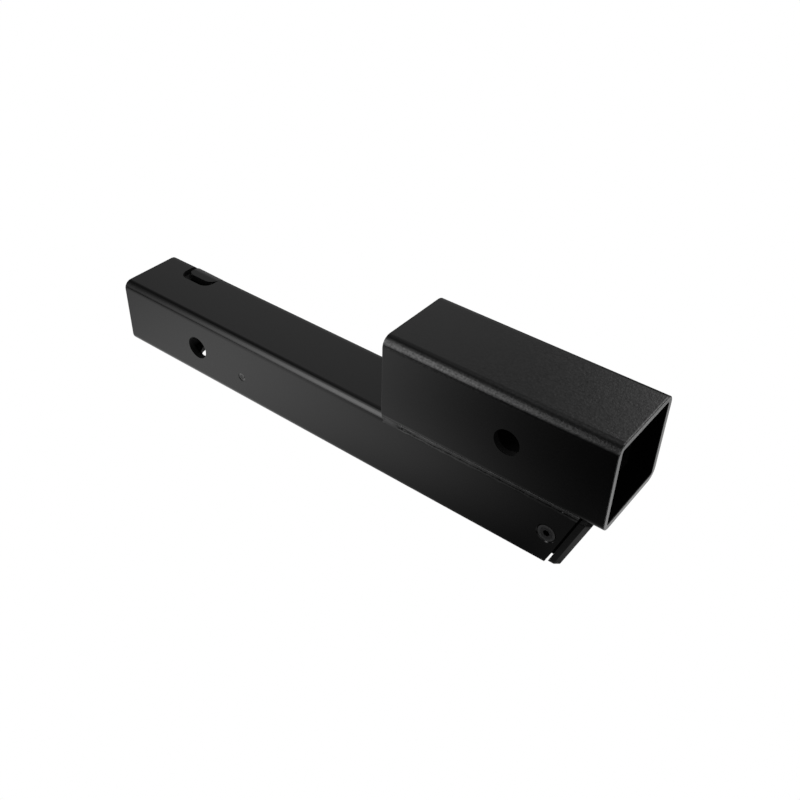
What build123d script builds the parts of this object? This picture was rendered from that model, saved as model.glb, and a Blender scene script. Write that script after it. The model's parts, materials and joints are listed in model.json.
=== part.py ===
from build123d import *
import os
from math import cos, sin, tan, radians, sqrt

os.makedirs("parts", exist_ok=True)

# ---------------------------------------------------------------- driving dimensions, mm
# Frame: origin at the centre of the shank's hitch pin hole, +X towards the
# accessory receiver's mouth, +Z up, -Y the side with the plain pin hole in view.

# shank tube
SHANK_W = 50.0          # outside, square
SHANK_WALL = 4.0
SHANK_R = 5.8           # outside corner radius
SHANK_X0 = -71.7        # front end
MITRE_X = 290.4         # rear end on the axis
MITRE_DEG = 20.0        # rear end leans rearward at the top
PIN_HOLE_R = 8.3        # for a 5/8 inch hitch pin
DRAIN_X, DRAIN_R = -11.9, 9.3

# receiver tube
RECV_W = 60.0
RECV_WALL = 4.2
RECV_R = 7.0
RECV_RI = 1.5           # inside corner radius
RECV_X0, RECV_X1 = 166.0, 315.0
RECV_Z = SHANK_W / 2 + RECV_W / 2     # axis height
RECV_PIN_X = 252.0
EDGE_R = 0.8            # rounded outer edge of the front cut ends
MOUTH_R, MOUTH_CHAMFER = 0.4, 0.4     # the mouth's outer and inner edges

# corner window and cam block
WIN_X0, WIN_X1 = -49.1, -21.4
WIN_IN = 6.5            # inner edge, from the shank's axis
WIN_R = 7.0
CAM_X0, CAM_X1 = -46.6, -21.6
CAM_IN = 12.7           # inner faces of its head, from the shank's axis
CAM_CROWN0, CAM_CROWN1 = 0.45, 0.1    # how proud of the tube's corner, front and rear end
CAM_R0, CAM_R1 = 6.0, 7.5             # rounded inner corners of the head, front and rear
CAM_END_R = 1.4         # rounded front edge
CAM_HALF = 9.0          # half width of its body, across the corner diagonal
CAM_LEDGE = 18.3        # shoulders of the body, under the tube's walls
CAM_BODY_R = 5.0
RAMP_DEG = 15.0
RAMP_U, RAMP_X = 10.0, -34.0          # ramp passes this diagonal distance here
RAMP_GAP = 0.1
STEM_HALF, STEM_H = 3.0, 3.0          # T-rail
HEAD_HALF, HEAD_H = 5.5, 3.5
RAIL_GAP = 0.3

# drive wedge
WEDGE_X0, WEDGE_X1 = -57.4, -25.4
WEDGE_W = 41.4
NUT_X, NUT_T, NUT_AF = -42.0, 6.5, 13.0

# tension rod
ROD_Z = -13.0
ROD_R = 4.0
ROD_TIP = -68.6
HEAD_X0, HEAD_X1, HEAD_R = 282.3, 290.3, 6.5
HEX_AF, HEX_DEPTH = 6.0, 4.5
GROOVE_X0, GROOVE_X1, GROOVE_R = 259.15, 260.35, 3.2

# end cap
CAP_GAP = 1.4           # between the tube's mitred end and the flange
CAP_T = 6.35            # flange thickness, square to the mitre
CAP_HALF = 24.1
CAP_R = 6.2
CAP_CHAMFER, CAP_INSET = 2.7, 2.0   # along the flange's side, across its back face
PLUG_X0, PLUG_W, PLUG_R = 262.0, 41.2, 6.0
SCREW_X, SCREW_Z = 281.0, 0.2
SCREW_R, SCREW_HEAD_R, SINK_R = 3.0, 5.6, 6.55
SCREW_LEN, SCREW_SUNK = 14.0, 0.35

# rod guide and its pin
GUIDE_X, GUIDE_L, GUIDE_W = 42.4, 18.0, 41.4
GPIN_Z, GPIN_R, GPIN_RI, GPIN_LEN = -5.2, 3.0, 1.9, 49.2

# weld beads
WELD_X0, WELD_X1 = 166.0, 302.0      # the far end is trimmed to the mitre
TACK_WRAP, TACK_LEN = 2.2, 12.5

# ---------------------------------------------------------------- helper planes
c20, s20 = cos(radians(MITRE_DEG)), sin(radians(MITRE_DEG))
RAMP_T = tan(radians(RAMP_DEG))
mitre = Plane(origin=(MITRE_X, 0, 0), x_dir=(0, 1, 0), z_dir=(c20, 0, -s20))
cap_front = mitre.offset(CAP_GAP)
cap_back = mitre.offset(CAP_GAP + CAP_T)
# direction of the ramp, and its outward normal
ramp_dir = Vector(cos(radians(RAMP_DEG)), -sin(radians(RAMP_DEG)) / sqrt(2), -sin(radians(RAMP_DEG)) / sqrt(2))
ramp_nrm = Vector(sin(radians(RAMP_DEG)), cos(radians(RAMP_DEG)) / sqrt(2), cos(radians(RAMP_DEG)) / sqrt(2))
ramp_point = Vector(RAMP_X, RAMP_U / sqrt(2), RAMP_U / sqrt(2))


def diagonal(x):
    """Cross-section plane at x: local Y runs out of the cam's corner, local X across it."""
    return Plane(origin=(x, 0, 0), x_dir=(0, 1, -1), z_dir=(1, 0, 0))


def ramp_u(x):
    return RAMP_U - RAMP_T * (x - RAMP_X)


# ---------------------------------------------------------------- shank tube
with BuildPart() as shank_tube:
    with BuildSketch(Plane.YZ.offset(SHANK_X0)):
        RectangleRounded(SHANK_W, SHANK_W, SHANK_R)
        RectangleRounded(SHANK_W - 2 * SHANK_WALL, SHANK_W - 2 * SHANK_WALL, SHANK_R - SHANK_WALL, mode=Mode.SUBTRACT)
    extrude(amount=400)
    split(bisect_by=mitre, keep=Keep.BOTTOM)
    fillet(shank_tube.faces().sort_by(Axis.X)[0].outer_wire().edges(), EDGE_R)
    # hitch pin hole, through both sides
    with BuildSketch(Plane.XZ):
        Circle(PIN_HOLE_R)
    extrude(amount=40, both=True, mode=Mode.SUBTRACT)
    # window in the corner: one cut through the top wall, one through the far wall
    with BuildSketch(Plane.XY.offset(18)) as window_top:
        with Locations(((WIN_X0 + WIN_X1) / 2, WIN_IN)):
            Rectangle(WIN_X1 - WIN_X0, 30, align=(Align.CENTER, Align.MIN))
        fillet(window_top.vertices().group_by(Axis.Y)[0], WIN_R)
    extrude(amount=12, mode=Mode.SUBTRACT)
    with BuildSketch(Plane(origin=(0, 18, 0), x_dir=(-1, 0, 0), z_dir=(0, 1, 0))) as window_side:
        with Locations((-(WIN_X0 + WIN_X1) / 2, WIN_IN)):
            Rectangle(WIN_X1 - WIN_X0, 30, align=(Align.CENTER, Align.MIN))
        fillet(window_side.vertices().group_by(Axis.Y)[0], WIN_R)
    extrude(amount=12, mode=Mode.SUBTRACT)
    # drain hole in the underside
    with BuildSketch(Plane.XY.offset(-30)):
        with Locations((DRAIN_X, 0)):
            Circle(DRAIN_R)
    extrude(amount=12, mode=Mode.SUBTRACT)
    # cross hole for the spring pin
    with BuildSketch(Plane.XZ):
        with Locations((GUIDE_X, GPIN_Z)):
            Circle(GPIN_R)
    extrude(amount=40, both=True, mode=Mode.SUBTRACT)
    # countersunk holes for the end cap's screws
    with Locations(Plane(origin=(SCREW_X, -SHANK_W / 2, SCREW_Z), x_dir=(1, 0, 0), z_dir=(0, -1, 0))):
        CounterSinkHole(radius=SCREW_R + 0.2, counter_sink_radius=SINK_R, depth=6)
    with Locations(Plane(origin=(SCREW_X, SHANK_W / 2, SCREW_Z), x_dir=(1, 0, 0), z_dir=(0, 1, 0))):
        CounterSinkHole(radius=SCREW_R + 0.2, counter_sink_radius=SINK_R, depth=6)

# ---------------------------------------------------------------- receiver tube
with BuildPart() as receiver_tube:
    with BuildSketch(Plane.YZ.offset(RECV_X0)):
        with Locations((0, RECV_Z)):
            RectangleRounded(RECV_W, RECV_W, RECV_R)
            RectangleRounded(RECV_W - 2 * RECV_WALL, RECV_W - 2 * RECV_WALL, RECV_RI, mode=Mode.SUBTRACT)
    extrude(amount=RECV_X1 - RECV_X0)
    fillet(receiver_tube.faces().sort_by(Axis.X)[0].outer_wire().edges(), EDGE_R)
    fillet(receiver_tube.faces().sort_by(Axis.X)[-1].outer_wire().edges(), MOUTH_R)
    chamfer(receiver_tube.faces().sort_by(Axis.X)[-1].inner_wires()[0].edges(), MOUTH_CHAMFER)
    with BuildSketch(Plane.XZ):
        with Locations((RECV_PIN_X, RECV_Z)):
            Circle(PIN_HOLE_R)
    extrude(amount=40, both=True, mode=Mode.SUBTRACT)

# ---------------------------------------------------------------- weld beads
# Each bead is a nearly flat fillet across the groove between the shank's upper
# corner and the receiver's lower corner, from toe to toe. It starts with a
# fuller tack that wraps a little past the receiver's front end.
with BuildPart() as weld_near:
    with BuildSketch(Plane.YZ.offset(WELD_X0)):
        with BuildLine():
            Polyline((-25.0, 19.5), (-22.5, 19.5), (-22.5, 28.5), (-29.0, 28.5))
            ThreePointArc((-29.0, 28.5), (-26.75, 24.0), (-25.0, 19.5))
        make_face()
    extrude(amount=WELD_X1 - WELD_X0)
    with BuildSketch(Plane.YZ.offset(WELD_X0 - TACK_WRAP)):
        with BuildLine():
            Polyline((-25.0, 19.3), (-22.5, 19.3), (-22.5, 28.8), (-29.2, 28.8))
            ThreePointArc((-29.2, 28.8), (-27.2, 24.0), (-25.0, 19.3))
        make_face()
    extrude(amount=TACK_LEN)
    with BuildSketch(Plane.YZ.offset(WELD_X0 - TACK_WRAP - 1)):
        RectangleRounded(SHANK_W, SHANK_W, SHANK_R)
    extrude(amount=WELD_X1 - WELD_X0 + TACK_WRAP + 2, mode=Mode.SUBTRACT)
    with BuildSketch(Plane.YZ.offset(RECV_X0)):
        with Locations((0, RECV_Z)):
            RectangleRounded(RECV_W, RECV_W, RECV_R)
    extrude(amount=WELD_X1 - WELD_X0 + 2, mode=Mode.SUBTRACT)
    split(bisect_by=mitre, keep=Keep.BOTTOM)

with BuildPart() as weld_far:
    mirror(weld_near.part, about=Plane.XZ)

# ---------------------------------------------------------------- cam block
# A block with the tube's own rounded corner for a head, which stands in the
# window, on a broader body that stays inside the tube. Its underside is the
# ramp, with a T-slot that holds it to the wedge.
CAM_L = CAM_X1 - CAM_X0
cam_out = SHANK_W / 2 + CAM_CROWN0 / sqrt(2)
cam_fall = (CAM_CROWN0 - CAM_CROWN1) / sqrt(2) / CAM_L
with BuildPart() as cam_head:
    with BuildSketch(Plane.YZ.offset(CAM_X0)) as head_section:
        with Locations((CAM_IN - 2, CAM_IN - 2)):
            Rectangle(cam_out - CAM_IN + 2, cam_out - CAM_IN + 2, align=(Align.MIN, Align.MIN))
        fillet(head_section.vertices().sort_by_distance((0, 0, 0))[-1], SHANK_R)
    # the head falls by its crown from the front end to the rear end
    extrude(amount=CAM_L * sqrt(1 + 2 * cam_fall**2), dir=(1, -cam_fall, -cam_fall))
    fillet(
        cam_head.faces().sort_by(Axis.X)[0].edges().filter_by(lambda e: max(e.center().Y, e.center().Z) > cam_out - 2.5),
        CAM_END_R,
    )
    # rounded inner corners, seen from above and from the far side
    with BuildSketch(Plane.XY) as head_plan:
        with Locations((CAM_X0, CAM_IN)):
            Rectangle(CAM_L, 40, align=(Align.MIN, Align.MIN))
        fillet(head_plan.vertices().group_by(Axis.Y)[0].sort_by(Axis.X)[0], CAM_R0)
        fillet(head_plan.vertices().group_by(Axis.Y)[0].sort_by(Axis.X)[-1], CAM_R1)
    extrude(amount=50, mode=Mode.INTERSECT)
    with BuildSketch(Plane(origin=(0, 0, 0), x_dir=(-1, 0, 0), z_dir=(0, 1, 0))) as head_side:
        with Locations((-CAM_X0, CAM_IN)):
            Rectangle(CAM_L, 40, align=(Align.MAX, Align.MIN))
        fillet(head_side.vertices().group_by(Axis.Y)[0].sort_by(Axis.X)[-1], CAM_R0)
        fillet(head_side.vertices().group_by(Axis.Y)[0].sort_by(Axis.X)[0], CAM_R1)
    extrude(amount=50, mode=Mode.INTERSECT)

with BuildPart() as cam_block:
    with BuildSketch(Plane.YZ.offset(CAM_X0)):
        with BuildLine():
            Polyline(
                (-CAM_HALF / sqrt(2), CAM_HALF / sqrt(2)), (CAM_LEDGE - CAM_HALF * sqrt(2), CAM_LEDGE),
                (CAM_LEDGE, CAM_LEDGE), (CAM_LEDGE, CAM_LEDGE - CAM_HALF * sqrt(2)),
                (CAM_HALF / sqrt(2), -CAM_HALF / sqrt(2)), close=True,
            )
        make_face()
    extrude(amount=CAM_L)
    with BuildSketch(Plane(origin=((CAM_X0 + CAM_X1) / 2, 0, 0), x_dir=(1, 0, 0), z_dir=(0, 1, 1))):
        RectangleRounded(CAM_L, 2 * CAM_HALF, CAM_BODY_R)
    extrude(amount=50, mode=Mode.INTERSECT)
    add(cam_head.part)
    # underside
    split(bisect_by=Plane(origin=ramp_point + ramp_nrm * RAMP_GAP, x_dir=(0, 1, -1), z_dir=ramp_nrm), keep=Keep.TOP)
    # T-slot, parallel to the ramp
    u0 = ramp_u(CAM_X0 - 4)
    with BuildSketch(diagonal(CAM_X0 - 4)):
        with Locations((0, u0 - 4)):
            Rectangle(2 * (STEM_HALF + RAIL_GAP), STEM_H + 4 + 1, align=(Align.CENTER, Align.MIN))
        with Locations((0, u0 + STEM_H - RAIL_GAP)):
            Rectangle(2 * (HEAD_HALF + RAIL_GAP), HEAD_H + 2 * RAIL_GAP, align=(Align.CENTER, Align.MIN))
    extrude(amount=40, dir=ramp_dir, mode=Mode.SUBTRACT)

# ---------------------------------------------------------------- drive wedge
with BuildPart() as drive_wedge:
    with BuildSketch(Plane.YZ.offset(WEDGE_X0)):
        RectangleRounded(WEDGE_W, WEDGE_W, 2.6)
    extrude(amount=WEDGE_X1 - WEDGE_X0)
    split(bisect_by=Plane(origin=ramp_point, x_dir=(0, 1, -1), z_dir=ramp_nrm), keep=Keep.BOTTOM)
    # T-rail
    u1 = ramp_u(WEDGE_X0)
    with BuildSketch(diagonal(WEDGE_X0)):
        with Locations((0, u1 - 3)):
            Rectangle(2 * STEM_HALF, STEM_H + 3, align=(Align.CENTER, Align.MIN))
        with Locations((0, u1 + STEM_H)):
            Rectangle(2 * HEAD_HALF, HEAD_H, align=(Align.CENTER, Align.MIN))
    extrude(amount=(WEDGE_X1 - WEDGE_X0) / cos(radians(RAMP_DEG)), dir=ramp_dir)
    # rod hole, and the slot that holds the square nut
    with BuildSketch(Plane.YZ.offset(WEDGE_X0 - 1)):
        with Locations((0, ROD_Z)):
            Circle(ROD_R + 0.3)
    extrude(amount=WEDGE_X1 - WEDGE_X0 + 2, mode=Mode.SUBTRACT)
    with BuildSketch(Plane.XY.offset(-WEDGE_W / 2 - 1)):
        with Locations((NUT_X, 0)):
            Rectangle(NUT_T + 0.2, NUT_AF + 0.2)
    extrude(amount=WEDGE_W / 2 + 1 + ROD_Z + NUT_AF / 2 + 0.1, mode=Mode.SUBTRACT)
    # weight-saving pocket in the rear face, above the rod
    with BuildSketch(Plane.YZ.offset(WEDGE_X1 - 14)):
        with Locations((-9.5, 1.5)):
            RectangleRounded(15, 12, 2)
    extrude(amount=15, mode=Mode.SUBTRACT)

with BuildPart() as wedge_nut:
    with BuildSketch(Plane.YZ.offset(NUT_X - NUT_T / 2)):
        with Locations((0, ROD_Z)):
            RectangleRounded(NUT_AF, NUT_AF, 0.6)
            Circle(ROD_R + 0.05, mode=Mode.SUBTRACT)
    extrude(amount=NUT_T)

# ---------------------------------------------------------------- tension rod
with BuildPart() as tension_rod:
    with BuildSketch(Plane.YZ.offset(ROD_TIP)):
        with Locations((0, ROD_Z)):
            Circle(ROD_R)
    extrude(amount=HEAD_X0 - ROD_TIP)
    chamfer(tension_rod.faces().sort_by(Axis.X)[0].edges(), 0.8)
    with BuildSketch(Plane.YZ.offset(HEAD_X0)):
        with Locations((0, ROD_Z)):
            Circle(HEAD_R)
    extrude(amount=HEAD_X1 - HEAD_X0)
    chamfer(tension_rod.faces().sort_by(Axis.X)[-1].edges(), 0.7)
    with BuildSketch(Plane.YZ.offset(HEAD_X1 - HEX_DEPTH)):
        with Locations((0, ROD_Z)):
            RegularPolygon(HEX_AF / 2, 6, major_radius=False)
    extrude(amount=HEX_DEPTH + 1, mode=Mode.SUBTRACT)
    # groove for the retaining ring
    with BuildSketch(Plane.YZ.offset(GROOVE_X0)):
        with Locations((0, ROD_Z)):
            Circle(ROD_R + 1)
            Circle(GROOVE_R, mode=Mode.SUBTRACT)
    extrude(amount=GROOVE_X1 - GROOVE_X0, mode=Mode.SUBTRACT)

with BuildPart() as rod_head_washer:
    with BuildSketch(Plane.YZ.offset(HEAD_X0 - 1.6)):
        with Locations((0, ROD_Z)):
            Circle(HEAD_R)
            Circle(ROD_R + 0.2, mode=Mode.SUBTRACT)
    extrude(amount=1.55)

with BuildPart() as retaining_ring:
    with BuildSketch(Plane.YZ.offset(GROOVE_X0 + 0.1)):
        with Locations((0, ROD_Z)):
            Circle(7.0)
            Circle(4.7, mode=Mode.SUBTRACT)
            with PolarLocations(3.9, 3, start_angle=90):
                Rectangle(1.3, 3.2)
            Circle(GROOVE_R + 0.03, mode=Mode.SUBTRACT)
            with Locations((0, -6)):
                Rectangle(6.4, 6, mode=Mode.SUBTRACT)
    extrude(amount=1.0)

with BuildPart() as ring_washer:
    with BuildSketch(Plane.YZ.offset(PLUG_X0 - 1.6)):
        with Locations((0, ROD_Z)):
            Circle(7.4)
            Circle(ROD_R + 0.2, mode=Mode.SUBTRACT)
    extrude(amount=1.6)

with BuildPart() as stop_washer:
    with BuildSketch(Plane.YZ.offset(WEDGE_X0 - 1.7)):
        with Locations((0, ROD_Z)):
            Circle(7.5)
            Circle(ROD_R + 0.03, mode=Mode.SUBTRACT)
    extrude(amount=1.6)

with BuildPart() as stop_nut:
    with BuildSketch(Plane.YZ.offset(WEDGE_X0 - 1.7 - 5.2)):
        with Locations((0, ROD_Z)):
            RegularPolygon(NUT_AF / 2, 6, major_radius=False)
    extrude(amount=5.2)
    with BuildSketch(Plane.YZ.offset(WEDGE_X0 - 1.7 - 8.0)):
        with Locations((0, ROD_Z)):
            Circle(6.1)
    extrude(amount=2.8)
    fillet(stop_nut.faces().sort_by(Axis.X)[0].edges(), 0.9)
    with BuildSketch(Plane.YZ.offset(WEDGE_X0 - 1.7 - 9)):
        with Locations((0, ROD_Z)):
            Circle(ROD_R + 0.03)
    extrude(amount=10, mode=Mode.SUBTRACT)

# ---------------------------------------------------------------- rod guide and its spring pin
with BuildPart() as rod_guide:
    with BuildSketch(Plane.YZ.offset(GUIDE_X - GUIDE_L / 2)):
        RectangleRounded(GUIDE_W, GUIDE_W, 2.8)
        with Locations((0, ROD_Z)):
            Circle(ROD_R + 0.3, mode=Mode.SUBTRACT)
        with Locations((0, 9.4)):
            RectangleRounded(30, 14, 2.5, mode=Mode.SUBTRACT)
    extrude(amount=GUIDE_L)
    with BuildSketch(Plane.XZ):
        with Locations((GUIDE_X, GPIN_Z)):
            Circle(GPIN_R)
    extrude(amount=40, both=True, mode=Mode.SUBTRACT)

with BuildPart() as guide_spring_pin:
    with BuildSketch(Plane.XZ.offset(-GPIN_LEN / 2)):
        with Locations((GUIDE_X, GPIN_Z)):
            Circle(GPIN_R - 0.02)
            Circle(GPIN_RI, mode=Mode.SUBTRACT)
            with Locations(Location((0, 0, 0), (0, 0, 20))):
                with Locations((3, 0)):
                    Rectangle(3, 1.1, mode=Mode.SUBTRACT)
    extrude(amount=GPIN_LEN)

# ---------------------------------------------------------------- end cap
with BuildPart() as end_cap:
    # plug, inside the shank
    with BuildSketch(Plane.YZ.offset(PLUG_X0)):
        RectangleRounded(PLUG_W, PLUG_W, PLUG_R)
    extrude(amount=60)
    split(bisect_by=cap_front.offset(1), keep=Keep.BOTTOM)
    chamfer(end_cap.faces().sort_by(Axis.X)[0].outer_wire().edges(), 1.0)
    # flange: its faces are parallel to the mitre, its rim runs along X
    with BuildSketch(cap_front):
        with Locations((0, CAP_GAP * s20 / c20)):
            RectangleRounded(2 * CAP_HALF, 2 * CAP_HALF / c20, CAP_R)
    extrude(amount=CAP_T / c20, dir=(1, 0, 0))
    cap_rear_face = end_cap.faces().filter_by(Axis(origin=(0, 0, 0), direction=(c20, 0, -s20))).sort_by(Axis.X)[-1]
    chamfer(cap_rear_face.outer_wire().edges(), length=CAP_INSET, length2=CAP_CHAMFER, reference=cap_rear_face)
    # rod hole and the counterbore for its head
    with BuildSketch(Plane.YZ.offset(PLUG_X0 - 1)):
        with Locations((0, ROD_Z)):
            Circle(ROD_R + 0.05)
    extrude(amount=60, mode=Mode.SUBTRACT)
    with BuildSketch(Plane.YZ.offset(HEAD_X0 - 1.6)):
        with Locations((0, ROD_Z)):
            Circle(HEAD_R + 0.3)
    extrude(amount=40, mode=Mode.SUBTRACT)
    # tapped side holes
    with BuildSketch(Plane.XZ):
        with Locations((SCREW_X, SCREW_Z)):
            Circle(SCREW_R + 0.03)
    extrude(amount=40, both=True, mode=Mode.SUBTRACT)
    # hollow of the plug, above the rod
    with BuildSketch(Plane.YZ.offset(PLUG_X0 - 1)):
        with Locations((0, 11.2)):
            RectangleRounded(28, 10, 2)
    extrude(amount=26, mode=Mode.SUBTRACT)


def torx_screw(side):
    """Profile of a countersunk screw whose head faces outwards on the given side."""
    y_top = side * (SHANK_W / 2 - SCREW_SUNK)
    head_plane = Plane(origin=(SCREW_X, y_top, SCREW_Z), x_dir=(1, 0, 0), z_dir=(0, -side, 0))
    with BuildPart() as screw:
        with BuildSketch(head_plane):
            Circle(SCREW_HEAD_R)
        extrude(amount=0.35)
        with BuildSketch(head_plane.offset(0.35)):
            Circle(SCREW_HEAD_R)
        with BuildSketch(head_plane.offset(0.35 + SCREW_HEAD_R - SCREW_R)):
            Circle(SCREW_R)
        loft()
        with BuildSketch(head_plane.offset(0.35 + SCREW_HEAD_R - SCREW_R)):
            Circle(SCREW_R)
        extrude(amount=SCREW_LEN - 0.35 - SCREW_HEAD_R + SCREW_R)
        # six-lobe recess
        with BuildSketch(head_plane):
            Circle(1.65)
            with PolarLocations(1.75, 6):
                Circle(0.48)
        extrude(amount=2.4, mode=Mode.SUBTRACT)
    return screw


end_cap_screw_near = torx_screw(-1)
end_cap_screw_far = torx_screw(1)

# ---------------------------------------------------------------- write the pieces
for piece, label in (
    (shank_tube, "shank_tube"),
    (receiver_tube, "receiver_tube"),
    (weld_near, "weld_near"),
    (weld_far, "weld_far"),
    (cam_block, "cam_block"),
    (drive_wedge, "drive_wedge"),
    (wedge_nut, "wedge_nut"),
    (tension_rod, "tension_rod"),
    (rod_head_washer, "rod_head_washer"),
    (retaining_ring, "retaining_ring"),
    (ring_washer, "ring_washer"),
    (stop_washer, "stop_washer"),
    (stop_nut, "stop_nut"),
    (rod_guide, "rod_guide"),
    (guide_spring_pin, "guide_spring_pin"),
    (end_cap, "end_cap"),
    (end_cap_screw_near, "end_cap_screw_near"),
    (end_cap_screw_far, "end_cap_screw_far"),
):
    piece.part.label = label
    export_step(piece.part, f"parts/{label}.step")
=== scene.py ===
import json
import math

import bmesh
import bpy
import numpy as np
from mathutils import Matrix, Vector


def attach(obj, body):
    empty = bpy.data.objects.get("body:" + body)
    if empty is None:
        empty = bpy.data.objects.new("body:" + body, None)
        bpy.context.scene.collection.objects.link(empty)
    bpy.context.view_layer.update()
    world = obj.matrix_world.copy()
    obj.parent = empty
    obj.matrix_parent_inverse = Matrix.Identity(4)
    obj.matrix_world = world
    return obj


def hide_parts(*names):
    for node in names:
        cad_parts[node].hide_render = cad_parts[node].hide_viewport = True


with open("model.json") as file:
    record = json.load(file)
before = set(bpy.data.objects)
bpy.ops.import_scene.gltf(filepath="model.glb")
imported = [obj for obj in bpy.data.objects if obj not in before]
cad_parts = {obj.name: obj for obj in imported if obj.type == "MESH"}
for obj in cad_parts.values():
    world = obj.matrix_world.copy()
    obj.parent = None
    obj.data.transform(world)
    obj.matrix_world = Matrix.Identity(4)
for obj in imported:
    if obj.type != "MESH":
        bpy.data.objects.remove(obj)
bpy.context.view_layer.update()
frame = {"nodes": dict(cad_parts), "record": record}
NODES = frame["nodes"]

MM = 0.001

# ------------------------------------------------------------------ node helpers


class Tree:
    """Short calls for building a shader node tree."""

    def __init__(self, owner):
        owner.use_nodes = True
        self.t = owner.node_tree
        self.t.nodes.clear()

    def node(self, kind, **values):
        n = self.t.nodes.new(kind)
        for k, v in values.items():
            setattr(n, k, v)
        return n

    def link(self, a, b):
        self.t.links.new(a, b)
        return a

    def put(self, socket, value):
        if isinstance(value, bpy.types.NodeSocket):
            self.t.links.new(value, socket)
        elif value is not None:
            socket.default_value = value

    def math(self, op, a, b=None, c=None, clamp=False):
        n = self.node("ShaderNodeMath", operation=op, use_clamp=clamp)
        self.put(n.inputs[0], a)
        if b is not None:
            self.put(n.inputs[1], b)
        if c is not None:
            self.put(n.inputs[2], c)
        return n.outputs[0]

    def vmath(self, op, a, b=None):
        n = self.node("ShaderNodeVectorMath", operation=op)
        self.put(n.inputs[0], a)
        if b is not None:
            self.put(n.inputs[1], b)
        return n.outputs["Value"] if op in ("DOT_PRODUCT", "LENGTH", "DISTANCE") else n.outputs["Vector"]

    def coords(self):
        return self.node("ShaderNodeTexCoord").outputs["Object"]

    def xyz(self, v):
        n = self.node("ShaderNodeSeparateXYZ")
        self.link(v, n.inputs[0])
        return n.outputs[0], n.outputs[1], n.outputs[2]

    def combine(self, x, y, z):
        n = self.node("ShaderNodeCombineXYZ")
        for s, v in zip(n.inputs, (x, y, z)):
            self.put(s, v)
        return n.outputs[0]

    def noise(self, vec, scale, detail=2.0, rough=0.5, distortion=0.0):
        n = self.node("ShaderNodeTexNoise")
        self.put(n.inputs["Vector"], vec)
        n.inputs["Scale"].default_value = scale
        n.inputs["Detail"].default_value = detail
        n.inputs["Roughness"].default_value = rough
        n.inputs["Distortion"].default_value = distortion
        return n.outputs["Fac"]

    def voronoi(self, vec, scale, feature="F1", random=1.0):
        n = self.node("ShaderNodeTexVoronoi", feature=feature)
        self.put(n.inputs["Vector"], vec)
        n.inputs["Scale"].default_value = scale
        n.inputs["Randomness"].default_value = random
        return n.outputs["Distance"]

    def remap(self, v, a, b, c, d, smooth=False):
        n = self.node("ShaderNodeMapRange", clamp=True)
        if smooth:
            n.interpolation_type = "SMOOTHSTEP"
        self.put(n.inputs[0], v)
        for i, x in enumerate((a, b, c, d)):
            n.inputs[i + 1].default_value = x
        return n.outputs[0]

    def mix(self, fac, a, b):
        n = self.node("ShaderNodeMix", data_type="RGBA")
        self.put(n.inputs["Factor"], fac)
        for s, v in ((n.inputs[6], a), (n.inputs[7], b)):
            if isinstance(v, bpy.types.NodeSocket):
                self.t.links.new(v, s)
            else:
                s.default_value = (*v, 1.0) if len(v) == 3 else v
        return n.outputs[2]

    def bump(self, height, strength, distance, normal=None):
        n = self.node("ShaderNodeBump")
        n.inputs["Strength"].default_value = strength
        n.inputs["Distance"].default_value = distance
        self.link(height, n.inputs["Height"])
        if normal is not None:
            self.link(normal, n.inputs["Normal"])
        return n.outputs["Normal"]

    def shader(self, **values):
        n = self.node("ShaderNodeBsdfPrincipled")
        for k, v in values.items():
            s = n.inputs[k]
            if isinstance(v, bpy.types.NodeSocket):
                self.t.links.new(v, s)
            else:
                s.default_value = (*v, 1.0) if hasattr(v, "__len__") and len(v) == 3 and s.type == "RGBA" else v
        out = self.node("ShaderNodeOutputMaterial")
        self.link(n.outputs[0], out.inputs["Surface"])
        return n


def new_material(name):
    m = bpy.data.materials.new(name)
    return m, Tree(m)


# ------------------------------------------------------------------ materials


def round_normal(t, y, z, corner, radius, zc):
    """The true normal on the rounded long edges of a square tube, whose mesh is in flats."""
    zz = t.math("SUBTRACT", z, zc)
    qy = t.math("MAXIMUM", t.math("SUBTRACT", t.math("ABSOLUTE", y), corner), 0.0)
    qz = t.math("MAXIMUM", t.math("SUBTRACT", t.math("ABSOLUTE", zz), corner), 0.0)
    ny, nz = t.math("MULTIPLY", qy, t.math("SIGN", y)), t.math("MULTIPLY", qz, t.math("SIGN", zz))
    n = t.vmath("NORMALIZE", t.combine(0.0, ny, nz))
    geo = t.node("ShaderNodeNewGeometry")
    fits = t.math("GREATER_THAN", t.vmath("DOT_PRODUCT", n, geo.outputs["True Normal"]), 0.97)
    size = t.math("SQRT", t.math("ADD", t.math("MULTIPLY", qy, qy), t.math("MULTIPLY", qz, qz)))
    on = t.math("MULTIPLY", fits, t.math("GREATER_THAN", size, radius - 0.0004))
    blend = t.node("ShaderNodeMix", data_type="VECTOR")
    t.put(blend.inputs["Factor"], on)
    t.link(geo.outputs["Normal"], blend.inputs[4])
    t.link(n, blend.inputs[5])
    return blend.outputs[1]


def inside_section(t, y, z, corner, radius, zc):
    """1 on walls more than 0.35 mm inside a rounded square section: bores, window, inside."""
    ay = t.math("SUBTRACT", t.math("ABSOLUTE", y), corner)
    az = t.math("SUBTRACT", t.math("ABSOLUTE", t.math("SUBTRACT", z, zc)), corner)
    py, pz = t.math("MAXIMUM", ay, 0.0), t.math("MAXIMUM", az, 0.0)
    out = t.math("SQRT", t.math("ADD", t.math("MULTIPLY", py, py), t.math("MULTIPLY", pz, pz)))
    sd = t.math("SUBTRACT", t.math("ADD", out, t.math("MINIMUM", t.math("MAXIMUM", ay, az), 0.0)), radius)
    return t.math("LESS_THAN", sd, -0.00035)


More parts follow.
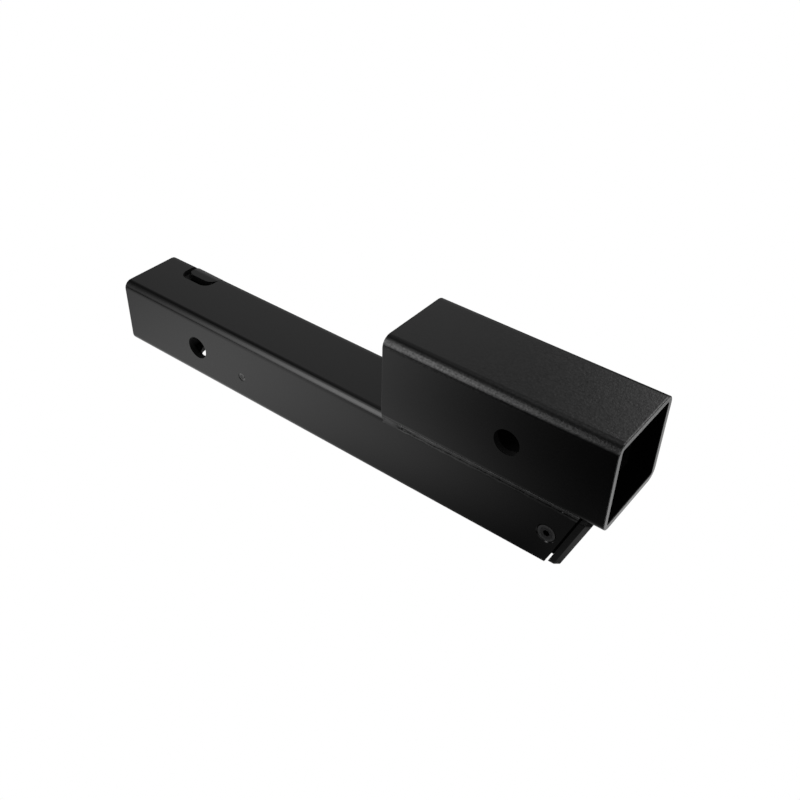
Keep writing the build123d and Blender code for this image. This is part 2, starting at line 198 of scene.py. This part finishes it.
def powder_coat(name, base, rough, grain=1.0, gap=False, top=None, tube=None, sheen_edge=False, bead=False):
    """Black powder coat: fine orange peel with a finer sparkle of resin grains.
    gap marks the end cap's plug, whose hidden sides are dull. top is the height above
    which the grain is coarser, more so towards the mouth; with top come painted shade on
    the top near the mouth and along the lower corner, and painted light on the mouth's cut
    face and its top edge. tube is (corner centre, corner radius, centre height, dull from x,
    dull to x) of a tube's section; on the shank it also paints a highlight along the near
    top corner. sheen_edge paints a sheen on the cam's outer edge as a paler colour. bead
    paints the weld's light and shade: a pale upper band and a thin pale toe as painted
    highlights, and a dark valley as painted shadow."""
    m, t = new_material(name)
    p = t.coords()
    x, y, z = t.xyz(p)
    peel = t.noise(p, 620.0, 2.0, 0.55)
    fine = t.noise(p, 1900.0, 1.0, 0.5)
    grains = t.remap(t.voronoi(p, 1350.0), 0.0, 0.55, 1.0, 0.0, smooth=True)
    wide = t.noise(p, 34.0, 3.0, 0.6)
    flow = t.noise(p, 9.0, 2.0, 0.5)
    height = t.math("ADD", t.math("MULTIPLY", peel, 0.9), t.math("ADD", t.math("MULTIPLY", fine, 0.35), t.math("MULTIPLY", grains, 0.30)))
    tint = t.math("ADD", t.math("MULTIPLY", t.math("SUBTRACT", wide, 0.5), 0.30), t.math("MULTIPLY", t.math("SUBTRACT", fine, 0.5), 0.55))
    tint = t.math("ADD", tint, t.math("MULTIPLY", t.math("SUBTRACT", flow, 0.5), 0.15))
    gain = t.math("ADD", tint, 1.0)
    colour = t.mix(t.math("MULTIPLY", gain, 0.5, clamp=True), (0, 0, 0), tuple(2 * c for c in base))
    r = t.math("ADD", rough, t.math("MULTIPLY", t.math("SUBTRACT", peel, 0.5), 0.08))
    r = t.math("ADD", r, t.math("MULTIPLY", t.math("SUBTRACT", wide, 0.5), 0.05))
    amount = t.math("MULTIPLY", t.remap(wide, 0.3, 0.7, 0.85, 1.15), 0.55 * grain)
    if top is not None:
        up = t.remap(z, top - 0.006, top, 0.0, 1.0, smooth=True)
        along = t.remap(x, 0.215, 0.290, 8.0, 26.0, smooth=True)
        amount = t.math("MULTIPLY", amount, t.math("ADD", t.math("MULTIPLY", up, along), 1.0))
    if gap:
        inner = t.math("MAXIMUM", t.math("ABSOLUTE", y), t.math("ABSOLUTE", z))
        depth = t.math("SUBTRACT", t.math("MULTIPLY", t.math("SUBTRACT", x, 0.2904), 0.93969), t.math("MULTIPLY", z, 0.34202))
        plug = t.math("MULTIPLY", t.math("LESS_THAN", inner, 0.0212), t.math("LESS_THAN", depth, 0.0014))
        r = t.math("ADD", r, t.math("MULTIPLY", t.math("MAXIMUM", plug, t.math("GREATER_THAN", z, 0.0192)), 0.60))
    under = None
    if tube is not None:
        corner, radius, zc, dull_a, dull_b = tube
        under = round_normal(t, y, z, corner, radius, zc)
        dull = t.math("MULTIPLY", t.math("GREATER_THAN", x, dull_a), t.math("LESS_THAN", x, dull_b))
        inner = inside_section(t, y, z, corner, radius, zc)
        sink = t.math("MULTIPLY", t.math("GREATER_THAN", x, 0.270), t.math("GREATER_THAN", z, -0.004))
        if zc == 0.0:
            dull = t.math("MAXIMUM", dull, t.math("MULTIPLY", sink, t.math("LESS_THAN", x, 0.2885)))
        dull = t.math("MULTIPLY", dull, inner)
        r = t.math("ADD", r, t.math("MULTIPLY", dull, 0.60))
    # Painted sheen: the cam's outer edge is made paler, standing in for light along it.
    if sheen_edge:
        edge = t.math("MULTIPLY", t.remap(y, 0.0175, 0.0225, 0.0, 1.0), t.remap(z, 0.017, 0.022, 0.0, 1.0))
        colour = t.mix(edge, colour, (0.17, 0.17, 0.17))
    n = t.bump(t.math("MULTIPLY", t.math("SUBTRACT", height, 0.75), amount), 1.0, 0.000035, under)
    level = 0.36 if sheen_edge else 0.5
    # Painted highlight: on the shank's near top corner the specular level is lowered at the front and raised towards
    # the rear, standing in for how the light falls along it.
    if tube is not None and top is None:
        arc = t.math("MULTIPLY", t.remap(z, 0.0220, 0.0231, 0.0, 1.0), t.remap(z, 0.0241, 0.0247, 1.0, 0.0))
        arc = t.math("MULTIPLY", arc, t.math("LESS_THAN", y, 0.0))
        level = t.math("MULTIPLY", level, t.math("ADD", 1.0, t.math("MULTIPLY", arc, t.remap(x, -0.060, 0.130, -0.25, 0.40))))
    if top is not None:
        # Painted shade: the top's specular level drops towards the mouth.
        level = t.math("SUBTRACT", 0.5, t.math("MULTIPLY", t.remap(x, 0.210, 0.290, 0.0, 0.045), up))
        coarse = t.remap(z, top - 0.006, top - 0.001, 0.0, 1.0)
        speck = t.math("SUBTRACT", t.noise(p, 830.0, 1.0, 0.5), 0.5)
        coarse = t.math("MULTIPLY", coarse, t.remap(x, 0.190, 0.270, 0.20, 1.30, smooth=True))
        bend = t.math("MULTIPLY", t.remap(z, 0.0778, 0.0788, 0.0, 1.7), t.remap(z, 0.0838, 0.0848, 1.0, 0.0))
        speck = t.math("MULTIPLY", speck, t.math("MAXIMUM", coarse, bend))
        level = t.math("MULTIPLY", level, t.math("ADD", 1.0, speck))
        # Painted shade: a lower specular level on a line along the receiver's lower corner.
        foot = t.remap(t.math("ABSOLUTE", t.math("SUBTRACT", z, 0.0308)), 0.0003, 0.0014, 0.57, 1.0)
        # Painted light on the mouth's cut face: its near and bottom walls get a paler colour and a higher specular
        # level, and a painted highlight raises the specular level along the top edge of the cut.
        cut = t.math("GREATER_THAN", x, 0.3146)
        level = t.math("MULTIPLY", level, t.math("MAXIMUM", foot, cut))
        near = t.math("MULTIPLY", t.math("LESS_THAN", y, -0.0258), 0.90)
        low = t.math("MULTIPLY", t.math("LESS_THAN", z, 0.0292), 0.30)
        pale = t.math("MULTIPLY", cut, t.math("MAXIMUM", near, low))
        brink = t.math("MULTIPLY", t.remap(x, 0.3139, 0.3148, 0.0, 5.0), t.math("GREATER_THAN", z, 0.0846))
        level = t.math("MULTIPLY", level, t.math("ADD", 1.0, t.math("MAXIMUM", pale, brink)))
        colour = t.mix(pale, colour, (0.16, 0.16, 0.16))
    if bead:
        # Painted light and shade along the weld: a paler band and a paler line near the upper toe, with a raised
        # specular level, are painted highlights; the near-black valley, wider among the pits at the front, with a
        # lowered specular level, is painted shadow.
        run = t.remap(x, 0.1765, 0.1800, 0.0, 1.0)
        wander = t.math("MULTIPLY", t.math("SUBTRACT", t.noise(t.combine(x, 0.0, 0.0), 170.0, 2.0, 0.5), 0.5), 0.0016)
        zz = t.math("ADD", z, wander)
        pitted = t.math("MULTIPLY", t.remap(x, 0.1770, 0.1800, 0.0, 1.0), t.remap(x, 0.1870, 0.1905, 1.0, 0.0))
        half = t.math("ADD", 0.00062, t.math("MULTIPLY", pitted, 0.00100))
        far = t.math("DIVIDE", t.math("ABSOLUTE", t.math("SUBTRACT", zz, t.math("ADD", 0.0224, t.math("MULTIPLY", pitted, 0.0011)))), half)
        dark = t.math("MULTIPLY", t.remap(far, 0.6, 1.4, 1.0, 0.0), run)
        band = t.math("MULTIPLY", t.remap(zz, 0.0230, 0.0238, 0.0, 1.0), t.remap(zz, 0.0278, 0.0288, 1.0, 0.0))
        band = t.math("MULTIPLY", t.math("MULTIPLY", band, run), t.remap(x, 0.250, 0.280, 1.0, 1.10))
        colour = t.mix(t.math("MULTIPLY", band, 0.55), colour, (0.078, 0.078, 0.0785))
        ridge = t.math("MULTIPLY", t.remap(zz, 0.0256, 0.0264, 0.0, 1.0), t.math("MULTIPLY", run, t.remap(x, 0.200, 0.280, 0.95, 0.72)))
        colour = t.mix(ridge, colour, (0.165, 0.165, 0.166))
        colour = t.mix(dark, colour, (0.003, 0.003, 0.003))
        level = t.math("ADD", 0.5, t.math("MULTIPLY", run, 0.33))
        level = t.math("MULTIPLY", level, t.math("SUBTRACT", 1.0, t.math("MULTIPLY", dark, 0.62)))
    t.shader(**{"Base Color": colour, "Roughness": r, "Normal": n, "Specular IOR Level": level, "IOR": 1.5})
    return m


def dark_metal(name, base, rough, metallic=1.0, grain=700.0, bump=0.00001, spread=0.4):
    """Oiled, oxide-black or phosphate steel: a dark metal with soft mottling."""
    m, t = new_material(name)
    p = t.coords()
    a = t.noise(p, grain, 3.0, 0.6)
    b = t.noise(p, grain * 0.12, 2.0, 0.5)
    gain = t.math("ADD", t.math("MULTIPLY", t.math("SUBTRACT", a, 0.5), spread), t.math("ADD", t.math("MULTIPLY", t.math("SUBTRACT", b, 0.5), spread), 1.0))
    colour = t.mix(t.math("MULTIPLY", gain, 0.5, clamp=True), (0, 0, 0), tuple(2 * c for c in base))
    r = t.math("ADD", rough, t.math("MULTIPLY", t.math("SUBTRACT", a, 0.5), 0.14))
    t.shader(**{"Base Color": colour, "Roughness": r, "Metallic": metallic, "Normal": t.bump(a, 0.5, bump)})
    return m


def screw_black(name, cx, cz):
    """Black oxide screw head, its axis along Y at (cx, cz): painted shade, near black, over the
    recess in the middle; paler and slightly rough on the rim."""
    m, t = new_material(name)
    p = t.coords()
    x, y, z = t.xyz(p)
    dx, dz = t.math("SUBTRACT", x, cx), t.math("SUBTRACT", z, cz)
    rad = t.math("SQRT", t.math("ADD", t.math("MULTIPLY", dx, dx), t.math("MULTIPLY", dz, dz)))
    a = t.noise(p, 1400.0, 3.0, 0.6)
    rim = t.remap(rad, 0.0036, 0.0046, 0.0, 1.0, smooth=True)
    core = t.remap(rad, 0.0018, 0.0022, 0.0, 1.0, smooth=True)
    colour = t.mix(rim, (0.20, 0.20, 0.202), (0.34, 0.34, 0.343))
    # Painted shade: near black within about 2 mm of the axis, over the recess.
    colour = t.mix(core, (0.012, 0.012, 0.012), colour)
    colour = t.mix(t.remap(a, 0.35, 0.65, 0.0, 0.55), colour, (0.05, 0.05, 0.051))
    r = t.math("ADD", 0.40, t.math("MULTIPLY", t.math("SUBTRACT", a, 0.5), 0.2))
    t.shader(**{"Base Color": colour, "Roughness": r, "Metallic": 1.0, "Normal": t.bump(a, 0.6, 0.00004)})
    return m


def turned_zinc(name):
    """Zinc-plated steel with fine turning lines along its axis."""
    m, t = new_material(name)
    p = t.coords()
    x, y, z = t.xyz(p)
    lines = t.noise(t.combine(x, t.math("MULTIPLY", y, 0.05), t.math("MULTIPLY", z, 0.05)), 3800.0, 2.0, 0.6)
    cloud = t.noise(p, 90.0, 3.0, 0.6)
    colour = t.mix(cloud, (0.46, 0.46, 0.45), (0.66, 0.66, 0.64))
    r = t.math("ADD", 0.30, t.math("MULTIPLY", lines, 0.16))
    t.shader(**{"Base Color": colour, "Roughness": r, "Metallic": 1.0, "Normal": t.bump(lines, 0.35, 0.00001)})
    return m


def moulded(name, base):
    """Moulded black nylon with a faint spark-eroded texture."""
    m, t = new_material(name)
    p = t.coords()
    a = t.noise(p, 1500.0, 2.0, 0.6)
    b = t.noise(p, 40.0, 2.0, 0.5)
    gain = t.math("ADD", t.math("MULTIPLY", t.math("SUBTRACT", b, 0.5), 0.35), 1.0)
    colour = t.mix(t.math("MULTIPLY", gain, 0.5, clamp=True), (0, 0, 0), tuple(2 * c for c in base))
    t.shader(**{"Base Color": colour, "Roughness": t.math("ADD", 0.48, t.math("MULTIPLY", a, 0.12)), "Normal": t.bump(a, 0.5, 0.00002)})
    return m


COAT = (0.0050, 0.0050, 0.0051)
MATS = {
    "shank_coat": powder_coat("shank_powder_coat", COAT, 0.17, grain=0.15, tube=(0.0192, 0.0058, 0.0, -0.0705, 0.200)),
    "receiver_coat": powder_coat("receiver_powder_coat", COAT, 0.17, grain=0.16, top=0.084, tube=(0.023, 0.007, 0.055, 0.1675, 0.300)),
    "weld_coat": powder_coat("weld_powder_coat", (0.0100, 0.0100, 0.0101), 0.19, grain=0.25, bead=True),
    "cam_dark": powder_coat("cam_satin", (0.010, 0.010, 0.0102), 0.22, grain=0.1, sheen_edge=True),
    "wedge_dark": dark_metal("wedge_phosphate", (0.018, 0.018, 0.0185), 0.55),
    "zinc_steel": turned_zinc("zinc_plate"),
    "spring_steel": dark_metal("spring_steel", (0.16, 0.16, 0.16), 0.34),
    "guide_polymer": moulded("guide_nylon", (0.02, 0.02, 0.0205)),
    "cap_coat": powder_coat("cap_satin", (0.006, 0.006, 0.0061), 0.20, grain=0.2, gap=True),
    "black_oxide": screw_black("black_oxide", 0.281, 0.0002),
}
SLOT_OF = {s["node"]: s["material_slot"] for s in frame["record"]["subparts"]}
for name, obj in NODES.items():
    mat = MATS[SLOT_OF[name]]
    if obj.material_slots:
        for s in obj.material_slots:
            s.material = mat
    else:
        obj.data.materials.append(mat)

# ------------------------------------------------------------------ weld beads
# Each bead lies nearly flat from its lower toe on the shank's side to its upper
# toe on the receiver's lower corner. A shallow valley with pits runs along its
# lower third, and the ripples of the puddle cross it. It starts with a full,
# smooth tack that wraps past the receiver's front end.
SH_R, SH_C = 5.8, 19.2          # shank's corner radius and its centre in y and z, mm
RC_R, RC_CY, RC_CZ = 7.0, 23.0, 32.0
RECV_X0 = 166.0


def smooth(x, a, b):
    t = np.clip((x - a) / (b - a), 0, 1)
    return t * t * (3 - 2 * t)


def wobble(x, seed, periods, amps):
    rng = np.random.default_rng(seed)
    out = np.zeros_like(x)
    for p, a in zip(periods, amps):
        out += a * np.sin(2 * np.pi * x / p + rng.uniform(0, 2 * np.pi))
    return out


def weld_mesh(name, side, seed):
    x0, x1, step = 163.6, 303.0, 0.3
    xs = np.arange(x0, x1, step)
    k = np.linspace(0, 1, 29)
    phase = np.cumsum(step * 2 * np.pi / (2.4 + wobble(xs, seed, (17, 41, 7.3), (0.25, 0.2, 0.15))))
    low = 19.65 + wobble(xs, seed + 1, (9.7, 23, 5.1, 61), (0.14, 0.18, 0.06, 0.18))
    high = 27.55 + wobble(xs, seed + 2, (12.1, 31, 6.7), (0.12, 0.14, 0.07))
    sag = 0.26 + wobble(xs, seed + 3, (14.3, 37, 8.1, 4.4), (0.07, 0.07, 0.05, 0.03))
    valley = 0.30 + wobble(xs, seed + 5, (27, 11.3, 6.1, 3.7), (0.07, 0.07, 0.05, 0.03))
    valley_z = 22.5 + wobble(xs, seed + 6, (33, 13, 5.3), (0.20, 0.14, 0.08))
    tack = smooth(xs, x0, x0 + 1.5) * (1 - smooth(xs, 173.8, 177.2))
    # craters at the tack's end and along the valley: x, z, half length, half height, depth
    pits = [
        (165.0, 24.2, 0.9, 0.7, 0.55), (167.3, 25.4, 0.5, 0.5, 0.25), (180.3, 22.6, 2.3, 0.95, 0.62),
        (184.6, 22.3, 1.8, 0.7, 0.50), (188.6, 22.0, 1.3, 0.5, 0.28), (176.4, 24.2, 1.0, 0.45, 0.30),
        (199.5, 22.6, 1.0, 0.4, 0.20), (209.0, 21.8, 1.2, 0.4, 0.22), (222.5, 22.9, 1.1, 0.4, 0.20),
        (236.0, 22.5, 0.8, 0.4, 0.16), (249.0, 22.6, 1.3, 0.5, 0.26), (264.3, 22.3, 1.7, 0.5, 0.30),
        (275.2, 22.7, 0.8, 0.5, 0.26), (281.8, 23.0, 0.9, 0.5, 0.22), (288.4, 22.5, 1.4, 0.6, 0.42),
        (293.0, 22.8, 1.5, 0.6, 0.40), (297.0, 23.0, 1.2, 0.6, 0.34), (193.4, 25.9, 0.7, 0.4, 0.12),
        (228.7, 26.3, 0.8, 0.4, 0.12), (257.6, 25.8, 0.7, 0.4, 0.14), (285.0, 26.0, 0.6, 0.4, 0.16),
    ]
    verts, faces = [], []
    for i, x in enumerate(xs):
        lo = low[i] - 0.30 * tack[i]
        hi = high[i] + 0.25 * tack[i]
        z = lo + (hi - lo) * k
        y_lo = SH_C + SH_R - 0.03
        y_hi = RC_CY + math.sqrt(max(RC_R**2 - (RC_CZ - hi) ** 2, 0.0))
        arch = 4 * k * (1 - k)
        out = y_lo + (y_hi - y_lo) * k - sag[i] * arch * (1 - tack[i]) + 0.22 * arch * tack[i]
        out = out - valley[i] * (1 - tack[i]) * np.exp(-(((z - valley_z[i]) / 0.50) ** 2))
        out = out + 0.10 * (1 - tack[i]) * np.exp(-(((z - valley_z[i] + 1.35) / 0.6) ** 2))
        # the ripples bow back in the middle of the bead
        ph = phase[i] - 1.7 * (1 - (2 * k - 1) ** 2)
        out = out + (0.036 - 0.018 * tack[i]) * np.sin(ph) * np.sqrt(np.clip(arch, 0, 1))
        for px, pz, w, h, dep in pits:
            if abs(x - px) < 4 * w:
                out = out - dep * math.exp(-(((x - px) / w) ** 2)) * np.exp(-(((z - pz) / h) ** 2))
        if x < RECV_X0 + 0.4:
            # past the receiver's end the tack rounds down onto the shank's corner
            f = (x - x0) / (RECV_X0 + 0.4 - x0)
            f = math.sqrt(max(1 - (1 - f) ** 2, 0.0))
            th = np.radians(-4 + 80 * k)
            hug_y, hug_z = SH_C + (SH_R - 0.06) * np.cos(th), SH_C + (SH_R - 0.06) * np.sin(th)
            out = hug_y + (out - hug_y) * f
            z = hug_z + (z - hug_z) * f
        for zz, o in zip(z, out):
            verts.append((x * MM, side * o * MM, zz * MM))
        # back edge, inside the walls of the two tubes
        back_hi = 28.0 if x > RECV_X0 + 0.4 else 24.0
        verts.append((x * MM, side * 22.6 * MM, back_hi * MM))
        verts.append((x * MM, side * 22.6 * MM, (lo + 0.3) * MM))
    n = len(k) + 2
    for i in range(len(xs) - 1):
        for j in range(n):
            a, b = i * n + j, i * n + (j + 1) % n
            c, d = (i + 1) * n + (j + 1) % n, (i + 1) * n + j
            faces.append((a, b, c, d) if side < 0 else (d, c, b, a))
    first = tuple(range(n))
    last = tuple((len(xs) - 1) * n + j for j in range(n))
    faces.append(first[::-1] if side < 0 else first)
    faces.append(last if side < 0 else last[::-1])
    me = bpy.data.meshes.new(name)
    me.from_pydata(verts, [], faces)
    # the end is trimmed to the shank's mitre
    bm = bmesh.new()
    bm.from_mesh(me)
    c20, s20 = math.cos(math.radians(20)), math.sin(math.radians(20))
    cut = bmesh.ops.bisect_plane(
        bm, geom=bm.verts[:] + bm.edges[:] + bm.faces[:], plane_co=(0.2904, 0, 0), plane_no=(c20, 0, -s20), clear_outer=True
    )
    rim = [e for e in cut["geom_cut"] if isinstance(e, bmesh.types.BMEdge)]
    bmesh.ops.holes_fill(bm, edges=rim, sides=0)
    bmesh.ops.triangulate(bm, faces=[f for f in bm.faces if len(f.verts) > 4])
    bmesh.ops.recalc_face_normals(bm, faces=bm.faces)
    bm.to_mesh(me)
    bm.free()
    for p in me.polygons:
        p.use_smooth = True
    o = bpy.data.objects.new(name, me)
    bpy.context.scene.collection.objects.link(o)
    me.materials.append(MATS["weld_coat"])
    return o


for side, node, seed in ((-1, "weld_near", 11), (1, "weld_far", 29)):
    bead = weld_mesh(node + "_bead", side, seed)
    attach(bead, "frame")
    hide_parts(node)

def pin_film(name, side):
    """Powder coat that has closed the spring pin's end: a dished disc just inside it."""
    count = 40
    verts, faces = [], []
    for radius, depth in ((1.20, 24.46), (1.86, 24.56), (1.86, 23.60)):
        for i in range(count):
            a = 2 * math.pi * i / count
            verts.append(((42.4 + radius * math.cos(a)) / 1000, side * depth / 1000, (-5.2 + radius * math.sin(a)) / 1000))
    for j in (0, 1):
        for i in range(count):
            k = (i + 1) % count
            faces.append((j * count + i, j * count + k, (j + 1) * count + k, (j + 1) * count + i))
    for j, y in ((0, 24.42), (2, 23.60)):
        verts.append((0.0424, side * y / 1000, -0.0052))
        faces += [(j * count + i, j * count + (i + 1) % count, len(verts) - 1) for i in range(count)]
    me = bpy.data.meshes.new(name)
    me.from_pydata(verts, [], faces)
    bm = bmesh.new()
    bm.from_mesh(me)
    bmesh.ops.recalc_face_normals(bm, faces=bm.faces)
    bm.to_mesh(me)
    bm.free()
    o = bpy.data.objects.new(name, me)
    bpy.context.scene.collection.objects.link(o)
    me.materials.append(MATS["weld_coat"])
    return o


for side, name in ((-1, "pin_film_near"), (1, "pin_film_far")):
    film = pin_film(name, side)
    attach(film, "frame")

# ------------------------------------------------------------------ stage
FLOOR_Z = -0.0252


def stage_material(name, emission, diffuse):
    m, t = new_material(name)
    e = t.node("ShaderNodeEmission")
    e.inputs["Color"].default_value = (1, 1, 1, 1)
    e.inputs["Strength"].default_value = emission
    d = t.node("ShaderNodeBsdfDiffuse")
    d.inputs["Color"].default_value = (diffuse, diffuse, diffuse, 1)
    s = t.node("ShaderNodeAddShader")
    t.link(e.outputs[0], s.inputs[0])
    t.link(d.outputs[0], s.inputs[1])
    clear = t.node("ShaderNodeBsdfTransparent")
    back = t.node("ShaderNodeNewGeometry").outputs["Backfacing"]
    mixed = t.node("ShaderNodeMixShader")
    t.link(back, mixed.inputs[0])
    t.link(s.outputs[0], mixed.inputs[1])
    t.link(clear.outputs[0], mixed.inputs[2])
    out = t.node("ShaderNodeOutputMaterial")
    t.link(mixed.outputs[0], out.inputs["Surface"])
    return m


def disc(name, radius, z, rings=48):
    me = bpy.data.meshes.new(name)
    bm = bmesh.new()
    bmesh.ops.create_circle(bm, cap_ends=True, segments=rings, radius=radius)
    bm.to_mesh(me)
    bm.free()
    o = bpy.data.objects.new(name, me)
    o.location = (0.12, 0, z)
    bpy.context.scene.collection.objects.link(o)
    return o


floor = disc("floor", 6.0, FLOOR_Z)
floor.data.materials.append(stage_material("pale_floor", 1.0, 0.0))
floor.visible_diffuse = False
floor.visible_glossy = False
floor.visible_transmission = False
floor.visible_shadow = False

dome_mesh = bpy.data.meshes.new("backdrop")
bm = bmesh.new()
bmesh.ops.create_uvsphere(bm, u_segments=48, v_segments=24, radius=5.5)
bmesh.ops.reverse_faces(bm, faces=bm.faces)
bm.to_mesh(dome_mesh)
bm.free()
dome = bpy.data.objects.new("backdrop", dome_mesh)
bpy.context.scene.collection.objects.link(dome)
dome.data.materials.append(stage_material("pale_backdrop", 1.0, 0.0))
dome.visible_diffuse = False
dome.visible_glossy = False
dome.visible_transmission = False
dome.visible_volume_scatter = False
dome.visible_shadow = False

# ------------------------------------------------------------------ studio light
# Light thrown back up by the table in soft oval pools: under the shank's front
# half, in front of it, behind the receiver's mouth and on the far side. Each pool is (x, y, its
# two radii, the turn of the first one from +X in radians, strength).
POOLS = [
    (0.034, -0.086, 0.117, 0.207, 0.133, 0.490),
    (0.352, 0.142, 0.037, 0.117, 0.508, 0.731),
    (0.322, 0.039, 0.022, 0.071, -0.134, 1.040),
    (-0.168, -0.406, 0.147, 0.410, -0.270, 0.950),
    (0.157, -0.060, 0.092, 0.043, -0.053, 0.265),
    (0.375, 0.050, 0.030, 0.030, 0.000, 0.380),
    (0.100, 0.240, 0.200, 0.110, 0.000, 0.400),
]
FLOOR_REST = 0.001


def pool_material(name):
    m, t = new_material(name)
    p = t.node("ShaderNodeNewGeometry").outputs["Position"]
    x, y, z = t.xyz(p)
    total = FLOOR_REST
    for px, py, ru, rv, turn, strength in POOLS:
        dx, dy = t.math("SUBTRACT", x, px), t.math("SUBTRACT", y, py)
        c, s = math.cos(turn), math.sin(turn)
        u = t.math("ADD", t.math("MULTIPLY", dx, c / ru), t.math("MULTIPLY", dy, s / ru))
        v = t.math("SUBTRACT", t.math("MULTIPLY", dy, c / rv), t.math("MULTIPLY", dx, s / rv))
        q = t.math("ADD", t.math("MULTIPLY", u, u), t.math("MULTIPLY", v, v))
        g = t.math("MULTIPLY", t.math("POWER", math.e, t.math("MULTIPLY", q, -1.0)), strength)
        total = t.math("ADD", g, total)
    e = t.node("ShaderNodeEmission")
    t.put(e.inputs["Strength"], total)
    out = t.node("ShaderNodeOutputMaterial")
    t.link(e.outputs[0], out.inputs["Surface"])
    return m


glow = disc("table_glow", 3.0, FLOOR_Z - 0.0003)
glow.data.materials.append(pool_material("table_glow"))
glow.visible_camera = False

# The room is dark, with broad softboxes by direction. Each is (azimuth,
# elevation, sharpness, strength); azimuth 0 is the side that a viewer looks
# from along +Y.
AMBIENT = 0.003
LOBES = [
    (328, 23, 56, 3.65),
    (301, 53, 67, 0.84),
    (218, 27, 13.6, 0.517),
    (204, 73, 17.9, 0.851),
    (182, 35, 66, 4.09),
    (330, 8, 65, 2.20),
    (320, 40, 67, 3.15),
    (208, 2, 60, 0.26),
    (105, 16, 5, 0.30),
    (40, 35, 5, 0.35),
    (270, 30, 4, 0.05),
]
world = bpy.data.worlds.new("studio")
bpy.context.scene.world = world
t = Tree(world)
direction = t.node("ShaderNodeTexCoord").outputs["Generated"]
total = AMBIENT
for az, el, power, strength in LOBES:
    a, e = math.radians(az), math.radians(el)
    v = (math.sin(a) * math.cos(e), -math.cos(a) * math.cos(e), math.sin(e))
    d = t.math("MAXIMUM", t.vmath("DOT_PRODUCT", direction, v), 0.0)
    lobe = t.math("MULTIPLY", t.math("POWER", d, power), strength)
    total = t.math("ADD", lobe, total)
background = t.node("ShaderNodeBackground")
t.put(background.inputs["Strength"], total)
out = t.node("ShaderNodeOutputWorld")
t.link(background.outputs[0], out.inputs["Surface"])

# ------------------------------------------------------------------ camera
cam = bpy.data.objects.new("camera", bpy.data.cameras.new("camera"))
bpy.context.scene.collection.objects.link(cam)
az, el, roll = (math.radians(v) for v in (36.59, 38.38, 1.85))
back = Vector((math.sin(az) * math.cos(el), -math.cos(az) * math.cos(el), math.sin(el)))
right = (-back).cross(Vector((0, 0, 1))).normalized()
up = right.cross(-back)
r2 = math.cos(roll) * right + math.sin(roll) * up
u2 = -math.sin(roll) * right + math.cos(roll) * up
rot = Matrix((r2, u2, back)).transposed()
cam.matrix_world = Matrix.Translation(Vector((445.48, -387.62, 400.53)) * MM) @ rot.to_4x4()
cam.data.sensor_width = 36.0
cam.data.lens = 988.09 / 800 * 36.0
cam.data.clip_start, cam.data.clip_end = 0.01, 50.0
bpy.context.scene.camera = cam
bpy.context.scene.view_settings.view_transform = "Standard"
